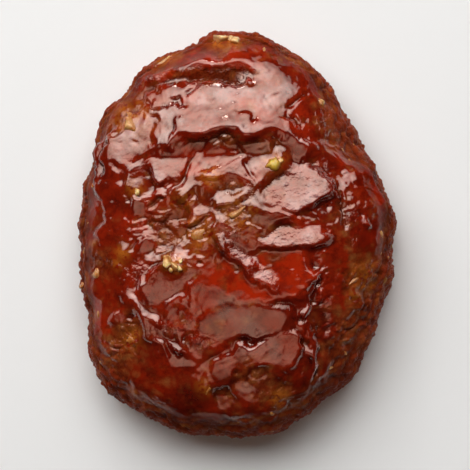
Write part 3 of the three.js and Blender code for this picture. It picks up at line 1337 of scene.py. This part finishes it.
class Bench:
    """A material's node tree, and the few ways in which nodes are put on it."""

    def __init__(self, name: str) -> None:
        """Makes an empty material of that name.

        Args:
            name: The material's name.
        """
        self.material = bpy.data.materials.new(name)
        self.material.use_nodes = True
        self.tree = self.material.node_tree
        self.tree.nodes.clear()

    def add(self, kind: str, settings: dict[str, object], sockets: dict[int | str, Value]) -> Wire:
        """Adds a node.

        Args:
            kind: The node's type.
            settings: Its properties, set before its sockets. A list of stops under "ramp" fills a
                colour ramp with (position, colour) pairs.
            sockets: Values or wires, by socket name or number.

        Returns:
            A wire from the node's first shown output.
        """
        node = self.tree.nodes.new(kind)
        for name, value in settings.items():
            if name == "ramp":
                self._fill_ramp(node.color_ramp, value)
            else:
                setattr(node, name, value)
        for name, value in sockets.items():
            socket = node.inputs[name]
            if isinstance(value, Wire):
                self.tree.links.new(value.socket, socket)
            else:
                socket.default_value = value
        shown = [socket for socket in node.outputs if socket.enabled]
        return Wire(self, shown[0] if shown else None)

    @staticmethod
    def _fill_ramp(ramp: bpy.types.ColorRamp, stops: list[tuple[float, tuple[float, ...]]]) -> None:
        """Sets a ramp's stops, two or more.

        Args:
            ramp: The ramp.
            stops: Positions and colours, in order.
        """
        while len(ramp.elements) < len(stops):
            ramp.elements.new(0.5)
        for element, (position, colour) in zip(ramp.elements, stops):
            element.position = position
            element.color = (*colour, 1.0)

    def place(self) -> Wire:
        """Object coordinates, in millimetres."""
        node = self.tree.nodes.new("ShaderNodeTexCoord")
        sockets = {0: Wire(self, node.outputs["Object"]), 1: (1.0 / MM, 1.0 / MM, 1.0 / MM)}
        return self.add("ShaderNodeVectorMath", {"operation": "MULTIPLY"}, sockets)

    def mark(self, name: str) -> Wire:
        """A value stored at the mesh's vertices."""
        node = self.tree.nodes.new("ShaderNodeAttribute")
        node.attribute_name = name
        return Wire(self, node.outputs["Fac"])

    def noise(self, where: Wire, per_mm: float, detail: float = 3.0, rough: float = 0.5) -> Wire:
        """Cloudy noise, 0 to 1, with per_mm features to a millimetre."""
        sockets = {"Vector": where, "Scale": per_mm, "Detail": detail, "Roughness": rough}
        return self.add("ShaderNodeTexNoise", {}, sockets)

    def cells(self, where: Wire, per_mm: float) -> Wire:
        """Distance to the nearest of points strewn in space, with per_mm points to a millimetre."""
        return self.add("ShaderNodeTexVoronoi", {"feature": "F1"}, {"Vector": where, "Scale": per_mm})

    def blend(self, share: Wire | float, first: Value, second: Value) -> Wire:
        """The colour between first and second at share."""
        return self._colour_mix("MIX", share, first, second)

    def tint(self, share: Wire | float, first: Value, second: Value) -> Wire:
        """First multiplied by second, at share."""
        return self._colour_mix("MULTIPLY", share, first, second)

    def _colour_mix(self, way: str, share: Wire | float, first: Value, second: Value) -> Wire:
        """A Mix node on colours, whose colour sockets come after those for numbers and vectors.

        Args:
            way: How the second colour is laid on the first.
            share: How far it is.
            first: The first colour.
            second: The second colour.

        Returns:
            A wire from the mixed colour.
        """
        node = self.tree.nodes.new("ShaderNodeMix")
        node.data_type = "RGBA"
        node.blend_type = way
        for number, value in ((0, share), (6, first), (7, second)):
            socket = node.inputs[number]
            if isinstance(value, Wire):
                self.tree.links.new(value.socket, socket)
            elif isinstance(value, tuple):
                socket.default_value = (*value, 1.0)
            else:
                socket.default_value = value
        return Wire(self, node.outputs[2])

    def bump(self, height: Wire, depth_mm: float) -> Wire:
        """A normal bent by a height from 0 to 1 that stands for depth_mm."""
        return self.add("ShaderNodeBump", {}, {"Height": height, "Distance": depth_mm * MM, "Strength": 1.0})

    def principled(self, sockets: dict[int | str, Value]) -> Wire:
        """A Principled shader with those sockets."""
        return self.add("ShaderNodeBsdfPrincipled", {"subsurface_method": "RANDOM_WALK"}, sockets)

    def finish(self, sockets: dict[int | str, Value]) -> bpy.types.Material:
        """Ends the tree in a Principled shader with those sockets."""
        self.add("ShaderNodeOutputMaterial", {}, {"Surface": self.principled(sockets)})
        return self.material

    def finish_mixed(self, share: Wire, first: Wire, second: Wire) -> bpy.types.Material:
        """Ends the tree in two shaders, mixed at share."""
        mixed = self.add("ShaderNodeMixShader", {}, {0: share, 1: first, 2: second})
        self.add("ShaderNodeOutputMaterial", {}, {"Surface": mixed})
        return self.material


# ---------------------------------------------------------------------------------------------
# Finishes
# ---------------------------------------------------------------------------------------------


@dataclass(frozen=True)
class MeatTones:
    """Colours and shine of cooked ground meat, shared by the meat and by the glaze where it is thin."""

    dark: Colour = (0.035, 0.006, 0.002)
    brown: Colour = (0.340, 0.056, 0.011)
    tan: Colour = (0.460, 0.165, 0.040)
    shine: tuple[float, ...] = (1.0, 0.55, 0.40, 1.0)

    def colour(self, bench: Bench, where: Wire, tone: Wire) -> Wire:
        """Granules of several browns, darker in the gaps as painted shade, with pale flecks of fat.

        Args:
            bench: The material's node tree.
            where: The place that the tones are read at.
            tone: Each granule's own tone, 0 to 1, lower near its edge as painted shade.

        Returns:
            A wire from the colour.
        """
        cloudy = bench.noise(where, 0.35, 4.0, 0.6)
        fine = bench.noise(where, 1.6, 3.0, 0.6)
        mixed = tone * 0.45 + cloudy * 0.4 + fine * 0.35
        stops = [(0.28, self.dark), (0.56, self.brown), (0.86, self.tan)]
        return bench.add("ShaderNodeValToRGB", {"ramp": stops}, {"Fac": mixed})


@dataclass(frozen=True)
class MeatFinish:
    """Browned, moist ground meat, glossy with juice and stained by the glaze near the top."""

    tones: MeatTones = MeatTones()
    stain: Colour = (0.19, 0.018, 0.005)
    # Painted shade, laid into the meat's cracks and low places.
    shadow: Colour = (0.25, 0.14, 0.1)

    def material(self) -> bpy.types.Material:
        """Builds the material.

        Returns:
            The material.
        """
        bench = Bench("browned_meat")
        where = bench.place()
        colour = self.tones.colour(bench, where, bench.mark("tone"))
        hollow = bench.mark("hollow")
        stained = bench.blend(bench.mark("stained") * 0.85, colour, self.stain)
        # Painted shade: darker where the meat lies low, in its cracks and between its granules.
        shaded = bench.tint(hollow * 0.6, stained, self.shadow)
        fine = bench.noise(where, 2.4, 4.0, 0.65)
        pores = bench.cells(where, 1.3)
        normal = bench.bump(fine * 0.6 + pores * 0.4, 0.35)
        rough = bench.noise(where, 0.8, 2.0).between(0.35, 0.7, 0.22, 0.5)
        return bench.finish(
            {
                "Base Color": shaded,
                "Roughness": rough,
                "Normal": normal,
                "IOR": 1.13,
                "Specular Tint": self.tones.shine,
            }
        )


@dataclass(frozen=True)
class GlazeFinish:
    """Thick tomato glaze: deep red where it pools, and browner over the meat where it is thin."""

    tones: MeatTones = MeatTones()
    deep: Colour = (0.110, 0.0065, 0.0016)
    fresh: Colour = (0.390, 0.0185, 0.0022)
    burnt: Colour = (0.045, 0.005, 0.002)
    amber: Colour = (0.56, 0.165, 0.016)
    blotch: Colour = (0.45, 0.33, 0.33)
    # Painted shade, laid into the glaze's creases and low places.
    shadow: Colour = (0.32, 0.22, 0.20)
    bare_darkening: Colour = (0.45, 0.38, 0.35)
    shine: tuple[float, ...] = (1.0, 0.70, 0.58, 1.0)

    def material(self) -> bpy.types.Material:
        """Builds the material.

        Returns:
            The material.
        """
        bench = Bench("tomato_glaze")
        where = bench.place()
        film = bench.mark("film")
        grit = bench.mark("grit")
        sauce = bench.blend(bench.mark("bright"), self.deep, self.fresh)
        specks = bench.noise(where, 1.1, 3.0, 0.7).between(0.62, 0.8)
        sauce = bench.blend(specks * 0.5, sauce, self.burnt)
        meat = self.tones.colour(bench, where, bench.mark("tone"))
        reddened = bench.blend(0.5, meat, self.deep)
        colour = bench.blend(film.between(0.0, 1.5), reddened, sauce)
        mottled = bench.noise(where, 0.6, 3.0, 0.6).between(0.35, 0.6)
        colour = bench.blend(bench.mark("amber") * mottled * 0.85, colour, self.amber)
        blotches = bench.noise(where, 0.15, 7.0, 0.72).between(0.42, 0.60)
        colour = bench.tint(blotches * 0.8, colour, self.blotch)
        # Painted shade: darker where the glaze lies below its surroundings, in its creases and round its
        # slabs.
        colour = bench.tint(bench.mark("hollow") * 0.7, colour, self.shadow)
        # Darker and greyer where the glaze is bare: in its thin patches and gritty spots, and on the lower
        # sides all round.
        colour = bench.tint(bench.mark("bare") * 0.3, colour, self.bare_darkening)
        pulp = bench.noise(where, 0.75, 2.0, 0.5)
        normal = bench.bump(pulp * (grit * 0.9 + 0.03), 0.8)
        rough = bench.noise(where, 0.3, 2.0).between(0.4, 0.7, 0.05, 0.12)
        fresh_film = bench.noise(where, 0.11, 4.0, 0.62).between(0.40, 0.62)
        thick = bench.principled(
            {
                "Base Color": colour,
                "Roughness": rough,
                "Normal": normal,
                "IOR": 1.8,
                "Specular Tint": self.shine,
                "Coat Weight": fresh_film,
                "Coat Roughness": 0.06,
                "Coat IOR": 1.5,
            }
        )
        thin = bench.principled(
            {
                "Base Color": colour,
                "Roughness": bench.noise(where, 0.5, 3.0, 0.6).between(0.4, 0.6, 0.25, 0.6),
                "Normal": normal,
                "IOR": 1.09,
                "Specular Tint": self.tones.shine,
            }
        )
        return bench.finish_mixed(bench.mark("bare"), thick, thin)


@dataclass(frozen=True)
class OnionFinish:
    """Soft cooked onion and pepper, stained amber by the glaze towards their undersides."""

    pale: Colour = (0.86, 0.62, 0.27)
    amber: Colour = (0.36, 0.10, 0.012)
    green: Colour = (0.62, 0.47, 0.06)
    shine: tuple[float, ...] = (1.0, 0.85, 0.7, 1.0)

    def material(self) -> bpy.types.Material:
        """Builds the material.

        Returns:
            The material.
        """
        bench = Bench("cooked_onion")
        where = bench.place()
        tone = bench.mark("tone")
        fibres = bench.noise(where, 1.2, 3.0, 0.6)
        browned = fibres.between(0.35, 0.75) * 0.6 + tone.between(0.15, 0.8) * 0.4
        flesh = bench.blend(browned, self.pale, self.amber)
        flesh = bench.blend(tone.between(0.86, 0.9), flesh, self.green)
        flesh = bench.blend(bench.mark("sunk") * 0.9, flesh, self.amber)
        return bench.finish(
            {
                "Base Color": flesh,
                "Roughness": 0.14,
                "Normal": bench.bump(fibres, 0.15),
                "Subsurface Weight": 0.35,
                "Subsurface Radius": (1.0, 0.5, 0.15),
                "Subsurface Scale": 0.0015,
                "IOR": 1.6,
                "Specular Tint": self.shine,
            }
        )


@dataclass(frozen=True)
class FloorFinish:
    """A plain, pale, matt floor."""

    colour: Colour = (0.84, 0.85, 0.85)
    greyer: Colour = (0.81, 0.82, 0.82)

    def material(self) -> bpy.types.Material:
        """Builds the material.

        Returns:
            The material.
        """
        bench = Bench("pale_floor")
        shade = bench.noise(bench.place(), 0.003, 2.0).between(0.3, 0.7, 0.96, 1.0)
        tone = bench.blend(shade, self.greyer, self.colour)
        return bench.finish({"Base Color": tone, "Roughness": 0.9})


# ---------------------------------------------------------------------------------------------
# Pieces
# ---------------------------------------------------------------------------------------------


@dataclass
class Meat:
    """The loaf of ground meat under the glaze: a closed body with a flat base.

    Attributes:
        form: The loaf's overall shape.
        surfaces: How high the meat and the glaze stand over it.
        steps: How finely the skin is divided along a side of its grid.
        base_rings: The rings of the base, as shares of the foot's radius.
    """

    form: LoafForm
    surfaces: Surfaces
    steps: int = 292
    base_rings: tuple[float, ...] = (0.985, 0.9, 0.6, 0.3)

    def build(self) -> bpy.types.Object:
        """Makes the mesh: the skin raised by the meat's height, closed by flat rings underneath.

        Returns:
            The piece, linked to the scene.
        """
        sheet = Sheet(self.steps)
        place, angle = sheet.places()
        skin = self.form.skin(place, angle)
        height, tone = self.surfaces.meat(skin, place)
        calm = 1.0 - smoothstep(place, 0.97, 1.0)
        points = skin + sheet.normals(skin) * (height * calm)[:, None]
        points[:, 2] = np.maximum(points[:, 2], self.form.low[2])
        rim = sheet.rim()
        points[rim, 2] = self.form.low[2]
        middle = points[rim].mean(axis=0)
        rings = [middle + (points[rim[::4]] - middle) * share for share in self.base_rings]
        closed, faces = closed_under(sheet, points, rings, middle)
        glaze, *_ = self.surfaces.glaze(skin, place, angle)
        under_glaze = smoothstep(glaze - height, -2.2, 0.0)
        marks = {
            "tone": tone,
            # Where the meat lies low; the material darkens it there as painted shade.
            "hollow": 1.0 - smoothstep(height, -1.4, 0.0),
            "stained": np.maximum(under_glaze, 0.8 * (1.0 - smoothstep(place, 0.84, 0.97))),
        }
        base = len(closed) - len(points)
        for name, values in marks.items():
            marks[name] = np.append(values, np.full(base, values[rim].mean()))
        piece = solid_mesh("meat", closed, faces, marks)
        piece.data.materials.append(MeatFinish().material())
        return piece


@dataclass
class Glaze:
    """The coat of thick glaze: a shell whose underside lies hidden in the meat.

    Attributes:
        form: The loaf's overall shape.
        surfaces: How high the meat and the glaze stand over it.
        steps: How finely it is divided along a side of its grid.
        reach: The place on the section where its shell ends, inside the meat.
        sunk: How deep its underside lies.
        under_rings: How many rings its underside has.
        core_height: The height of the point that the middle of its underside sinks towards.
        clearance: How far it stays above the base.
    """

    form: LoafForm
    surfaces: Surfaces
    steps: int = 290
    reach: float = 0.95
    sunk: float = 3.6
    under_rings: int = 26
    core_height: float = 4.0
    clearance: float = 0.2

    def build(self) -> bpy.types.Object:
        """Makes the mesh: the skin raised by the glaze's height, and a coarser sunken underside.

        Returns:
            The piece, linked to the scene.
        """
        sheet = Sheet(self.steps)
        share, angle = sheet.places()
        place = share * self.reach
        skin = self.form.skin(place, angle)
        height, grit, bright, bare = self.surfaces.glaze(skin, place, angle)
        meat, tone = self.surfaces.meat(skin, place)
        points = skin + sheet.normals(skin) * height[:, None]
        points[:, 2] = np.maximum(points[:, 2], self.form.low[2] + self.clearance)
        columns = angle[sheet.rim()[::4]]
        places = self.reach * np.linspace(0.99, 0.04, self.under_rings)
        rings = [self._sunken(np.full(len(columns), ring), columns) for ring in places]
        closed, faces = closed_under(sheet, points, rings, self._sunken(np.zeros(1), np.zeros(1)))
        sides = {
            "film": (height - meat, 0.0),
            "tone": (tone, 0.5),
            "grit": (grit, 0.0),
            "bare": (bare, 1.0),
            # Where the glaze lies below its surroundings; the material darkens it there as painted shade.
            "hollow": (sheet.hollows(points[:, 2]), 1.0),
            "bright": (bright, 0.0),
            "amber": (self._amber(skin), 0.0),
        }
        hidden = np.ones(len(closed) - len(points))
        marks = {name: np.append(shown, under * hidden) for name, (shown, under) in sides.items()}
        piece = solid_mesh("glaze", closed, faces, marks)
        piece.data.materials.append(GlazeFinish().material())
        return piece

    def _amber(self, points: Array) -> Array:
        """How far a bit just under the glaze lights it up: a bell round each bit's middle.

        Args:
            points: The form's skin.

        Returns:
            A value from 0 to 1 for each point.
        """
        glow = np.zeros(len(points))
        for bit in self.surfaces.bits:
            gap = np.hypot(points[:, 0] - bit.x, points[:, 1] - bit.y)
            glow = np.maximum(glow, bell(gap, bit.size * (1.0 + bit.cut.value[0]) * 0.75))
        return glow

    def _sunken(self, place: Array, angle: Array) -> Array:
        """Points of the skin, moved by the depth of the underside towards the loaf's axis.

        Each heads for the axis at a quarter of its own height above the core.

        Args:
            place: Places on the section.
            angle: Directions, in radians.

        Returns:
            The moved points.
        """
        skin = self.form.skin(place, angle)
        core = skin * np.array([0.0, 0.0, 0.25])
        core[:, 2] += self.core_height
        inwards = core - skin
        return skin + inwards / np.linalg.norm(inwards, axis=1, keepdims=True) * self.sunk


@dataclass(frozen=True)
class Ball:
    """The ball that every bit is cut from, its poles on the X axis.

    Attributes:
        rings: How many rings of points lie between its poles.
        columns: How many points a ring has.
    """

    rings: int = 15
    columns: int = 22

    def points(self) -> Array:
        """Its points, ring by ring, then its two poles: the cosine and the sines of the two angles.

        Returns:
            The points, as rows of three.
        """
        down = np.linspace(0.0, math.pi, self.rings + 2)[1:-1]
        around = np.arange(self.columns) * 2.0 * math.pi / self.columns
        d, a = (grid.ravel() for grid in np.meshgrid(down, around, indexing="ij"))
        skin = np.stack([np.cos(d), np.sin(d) * np.cos(a), np.sin(d) * np.sin(a)], axis=1)
        return np.concatenate([skin, [[1.0, 0.0, 0.0], [-1.0, 0.0, 0.0]]])

    def faces(self) -> tuple[Array, Array]:
        """Its quads, and the triangles round its poles, all facing outwards.

        Returns:
            The quads and the triangles.
        """
        index = np.arange(self.rings * self.columns).reshape(self.rings, -1)
        first, last = (np.full(self.columns, index.size + pole) for pole in (0, 1))
        following = np.roll(index, -1, axis=1)
        caps = [(index[0], following[0], first), (index[-1], last, following[-1])]
        return ring_quads(index), np.concatenate([np.stack(cap, axis=1) for cap in caps])


@dataclass
class OnionBits:
    """Bits of cooked onion and pepper, set into the glaze and the meat.

    Attributes:
        form: The loaf's overall shape.
        surfaces: The glaze and the meat that they lie in, and the bits in plain sight.
        ball: The ball that they are cut from.
        strewn: How many more are strewn over the side.
        strewn_places: The places on the section between which those lie.
        strewn_sunk: How deep those lie.
        cuts: How many flat cuts each has.
        squareness: The power that squares the ball off; 1 leaves it round.
        dents: How deep the dents are on one of full size.
        headroom: How far one may stand over the form's highest point.
    """

    form: LoafForm
    surfaces: Surfaces
    ball: Ball = Ball()
    strewn: int = 46
    strewn_places: tuple[float, float] = (0.66, 0.96)
    strewn_sunk: float = 0.75
    cuts: int = 9
    squareness: float = 0.75
    dents: float = 0.3
    headroom: float = 0.8

    def build(self) -> bpy.types.Object:
        """Makes one mesh of all the bits.

        Returns:
            The piece, linked to the scene.
        """
        draw = np.random.default_rng(SEED + 1)
        points, tones, sunk = [], [], []
        for place, angle, bit in self._all(draw):
            local = self._block(bit, draw)
            points.append(self._laid(local, place, angle, bit))
            tones.append(np.full(len(local), bit.tone))
            level = local[:, 2] / (bit.cut.value[2] * bit.size)
            sunk.append(1.0 - smoothstep(level, bit.sunk, bit.sunk + 0.7))
        starts = np.cumsum([0] + [len(part) for part in points[:-1]])
        faces = [np.concatenate([face + start for start in starts]) for face in self.ball.faces()]
        marks = {"tone": np.concatenate(tones), "sunk": np.concatenate(sunk)}
        piece = solid_mesh("onion_bits", np.concatenate(points), faces, marks)
        piece.data.materials.append(OnionFinish().material())
        return piece

    def _all(self, draw: np.random.Generator) -> Iterator[tuple[float, float, Bit]]:
        """Each bit with its place and direction: those in plain sight, then a scatter over the side.

        Args:
            draw: The random draws, shared with the bits' shapes.

        Returns:
            Places on the section, directions in radians, and bits, one at a time.
        """
        for bit in self.surfaces.bits:
            yield (*self.form.place_of(bit.x, bit.y), bit)
        for _ in range(self.strewn):
            place = float(draw.uniform(*self.strewn_places))
            angle = float(draw.uniform(0.0, 2.0 * math.pi))
            cut = Cut.CRUMB if draw.random() < 0.6 else Cut.DICE
            turn, size, tone = (float(value) for value in draw.uniform((0.0, 0.9, 0.3), (180.0, 1.6, 0.92)))
            yield place, angle, Bit(0, 0, turn, cut, size, tone, self.strewn_sunk)

    def _block(self, bit: Bit, draw: np.random.Generator) -> Array:
        """One bit's points about its own middle, its length along X and its height along Z.

        The ball is squared off, cut flat by random planes, scaled to the cut's half sizes, bent
        along its length, and dented by noise.

        Args:
            bit: The bit.
            draw: The random draws.

        Returns:
            The points, in millimetres.
        """
        long, wide, thick, bend = bit.cut.value
        ball = self.ball.points()
        block = np.sign(ball) * np.abs(ball) ** self.squareness
        for _ in range(self.cuts):
            facing = draw.normal(size=3)
            facing = facing / np.linalg.norm(facing)
            beyond = np.maximum(block @ facing - draw.uniform(0.45, 0.85), 0.0)
            block = block - 0.9 * beyond[:, None] * facing
        local = block * np.array([long, wide, thick]) * bit.size
        local[:, 1] += bend * (local[:, 0] / long) ** 2
        shift = draw.uniform(0, 200, 3)
        dents = self.surfaces.grain.cloudy(local + shift, 1.7, 2)
        return local + self.dents * bit.size * dents[:, None] * ball

    def _laid(self, local: Array, place: float, angle: float, bit: Bit) -> Array:
        """The bit's points, laid on the higher of the glaze and the meat, and sunk into it.

        Args:
            local: The points about the bit's own middle.
            place: The bit's place on the section.
            angle: Its direction from the loaf's middle, in radians.
            bit: The bit.

        Returns:
            The points in the loaf's frame, clear of the base and not far over the top.
        """
        point, normal = self.form.seat(place, angle)
        here = (point[None, :], np.array([place]))
        glaze = float(self.surfaces.glaze(*here, np.array([angle]))[0][0])
        meat = float(self.surfaces.meat(*here)[0][0])
        level = max(glaze, meat) - bit.sunk * bit.cut.value[2] * bit.size
        side = np.cross(normal, [0.0, 0.0, 1.0])
        steep = np.linalg.norm(side)
        side = side / steep if steep > 0.05 else np.array([1.0, 0.0, 0.0])
        turn = math.radians(bit.turn)
        forward = side * math.cos(turn) + np.cross(normal, side) * math.sin(turn)
        axes = np.stack([forward, np.cross(normal, forward), normal])
        placed = point + normal * level + local @ axes
        low, high = self.form.low[2] + 0.05, self.form.high[2] + self.headroom
        placed[:, 2] = np.clip(placed[:, 2], low, high)
        return placed


# ---------------------------------------------------------------------------------------------
# The studio
# ---------------------------------------------------------------------------------------------


@dataclass
class Studio:
    """The floor, the soft lights and the camera, in metres.

    Attributes:
        size: The loaf's size.
        camera_height: How high the camera is.
        camera_right: How far it is to the right of the loaf's middle.
        camera_front: How far it is in front of it.
        fill_frame: The share of the frame that the loaf's length fills.
        sensor: The camera's sensor, in millimetres.
        floor_radius: The floor's radius.
        floor_gap: How far the floor lies under the base.
        surround: How bright the surround is.
        cool: The colour of the light from behind.
        warm: The colour of the light from in front.
    """

    size: Array
    camera_height: float = 0.75
    camera_right: float = 0.048
    camera_front: float = 0.007
    fill_frame: float = 0.87
    sensor: float = 36.0
    floor_radius: float = 5.0
    floor_gap: float = 0.0001
    surround: float = 0.012
    cool: Colour = (1.0, 0.99, 0.98)
    warm: Colour = (1.0, 0.72, 0.58)

    def build(self) -> None:
        """Sets everything up.

        The large softboxes are nested panels, each smaller one at its own depth in front of the
        last, so that their light falls off softly from the middle.
        """
        self._floor()
        self._world()
        for share in np.linspace(1.0, 0.4, 5):
            where = Vector((-0.12 - 0.20 * share, 0.72 + 0.04 * share, 0.92))
            glow = 1.7 if share == 1.0 else 0.8
            self._softbox("back_softbox", where, (2.1 * share, 1.25 * share), glow, self.cool)
        self._softbox("low_light", Vector((-0.2, 1.08, 0.46)), (0.16, 0.12), 16.0, self.cool)
        for share in (1.0, 0.75, 0.5):
            where = Vector((-0.06, -0.36, 1.21 + 0.04 * share))
            self._softbox("front_panel", where, (0.7 * share, 0.62 * share), 0.40, self.warm)
        self._camera()
        bpy.context.scene.view_settings.view_transform = "Standard"

    def _floor(self) -> None:
        """A wide round floor just under the loaf."""
        corners = 96
        around = np.linspace(0.0, 2.0 * math.pi, corners, endpoint=False)
        radius, depth = self.floor_radius / MM, self.floor_gap / MM
        rim = np.stack([radius * np.cos(around), radius * np.sin(around), np.full(corners, -depth)], axis=1)
        floor = solid_mesh("floor", rim, [np.arange(corners)[None, :]])
        floor.data.materials.append(FloorFinish().material())
        floor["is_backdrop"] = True

    def _world(self) -> None:
        """A plain, dim surround."""
        world = bpy.data.worlds.new("surround")
        world.use_nodes = True
        background = world.node_tree.nodes["Background"]
        background.inputs["Color"].default_value = (1.0, 0.99, 0.97, 1.0)
        background.inputs["Strength"].default_value = self.surround
        bpy.context.scene.world = world

    @staticmethod
    def _softbox(name: str, where: Vector, size: tuple[float, float], glow: float, colour: Colour) -> None:
        """A rectangular soft light, square to the X axis and tipped towards the loaf.

        Args:
            name: Its name.
            where: Its middle.
            size: Its width and height.
            glow: How bright each part of it is; its energy is that, times pi, times its area.
            colour: Its colour.
        """
        light = bpy.data.lights.new(name, "AREA")
        light.color = colour
        light.shape = "RECTANGLE"
        light.size, light.size_y = size
        light.energy = glow * math.pi * size[0] * size[1]
        lamp = bpy.data.objects.new(name, light)
        lamp.location = where
        aim = Vector((0.0, -where.y, -where.z))
        lamp.rotation_euler = aim.to_track_quat("-Z", "Y").to_euler()
        bpy.context.scene.collection.objects.link(lamp)

    def _camera(self) -> None:
        """Looks down on the loaf, from above a point to its right and a little in front.

        Half of what the sensor sees, over the distance, is half the sensor over the lens.
        """
        middle = Vector((0.0, 0.0, float(self.size[2]) / 2))
        where = Vector((self.camera_right, -self.camera_front, self.camera_height))
        back = (where - middle).normalized()
        right = Vector((0.0, 1.0, 0.0)).cross(back).normalized()
        up = back.cross(right)
        data = bpy.data.cameras.new("camera")
        half_view = float(self.size[1]) / 2 / self.fill_frame
        data.sensor_width = self.sensor
        data.lens = self.sensor / 2 * (where - middle).length / half_view
        camera = bpy.data.objects.new("camera", data)
        turn = Matrix((right, up, back)).transposed()
        camera.matrix_world = Matrix.Translation(where) @ turn.to_4x4()
        bpy.context.scene.collection.objects.link(camera)
        bpy.context.scene.camera = camera


# ---------------------------------------------------------------------------------------------
# The whole
# ---------------------------------------------------------------------------------------------


def main() -> None:
    """Loads the frame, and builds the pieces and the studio."""
    logging.basicConfig(level=logging.INFO, format="%(name)s: %(message)s")
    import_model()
    solid_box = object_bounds()
    low, high = (np.array(corner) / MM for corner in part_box(NODE))
    form = LoafForm(low, high)
    surfaces = Surfaces(form)

    meat = Meat(form, surfaces).build()
    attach(meat, BODY)
    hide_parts(NODE)

    glaze = Glaze(form, surfaces).build()
    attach(glaze, BODY)

    onion = OnionBits(form, surfaces).build()
    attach(onion, BODY)

    for piece in (meat, glaze, onion):
        LOG.info("%s: %d faces", piece.name, len(piece.data.polygons))

    Studio((high - low) * MM).build()
    boxes = {"solid": solid_box, "visual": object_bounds()}
    {name: [list(corner) for corner in box] for name, box in boxes.items()}


if __name__ == "__main__":
    main()
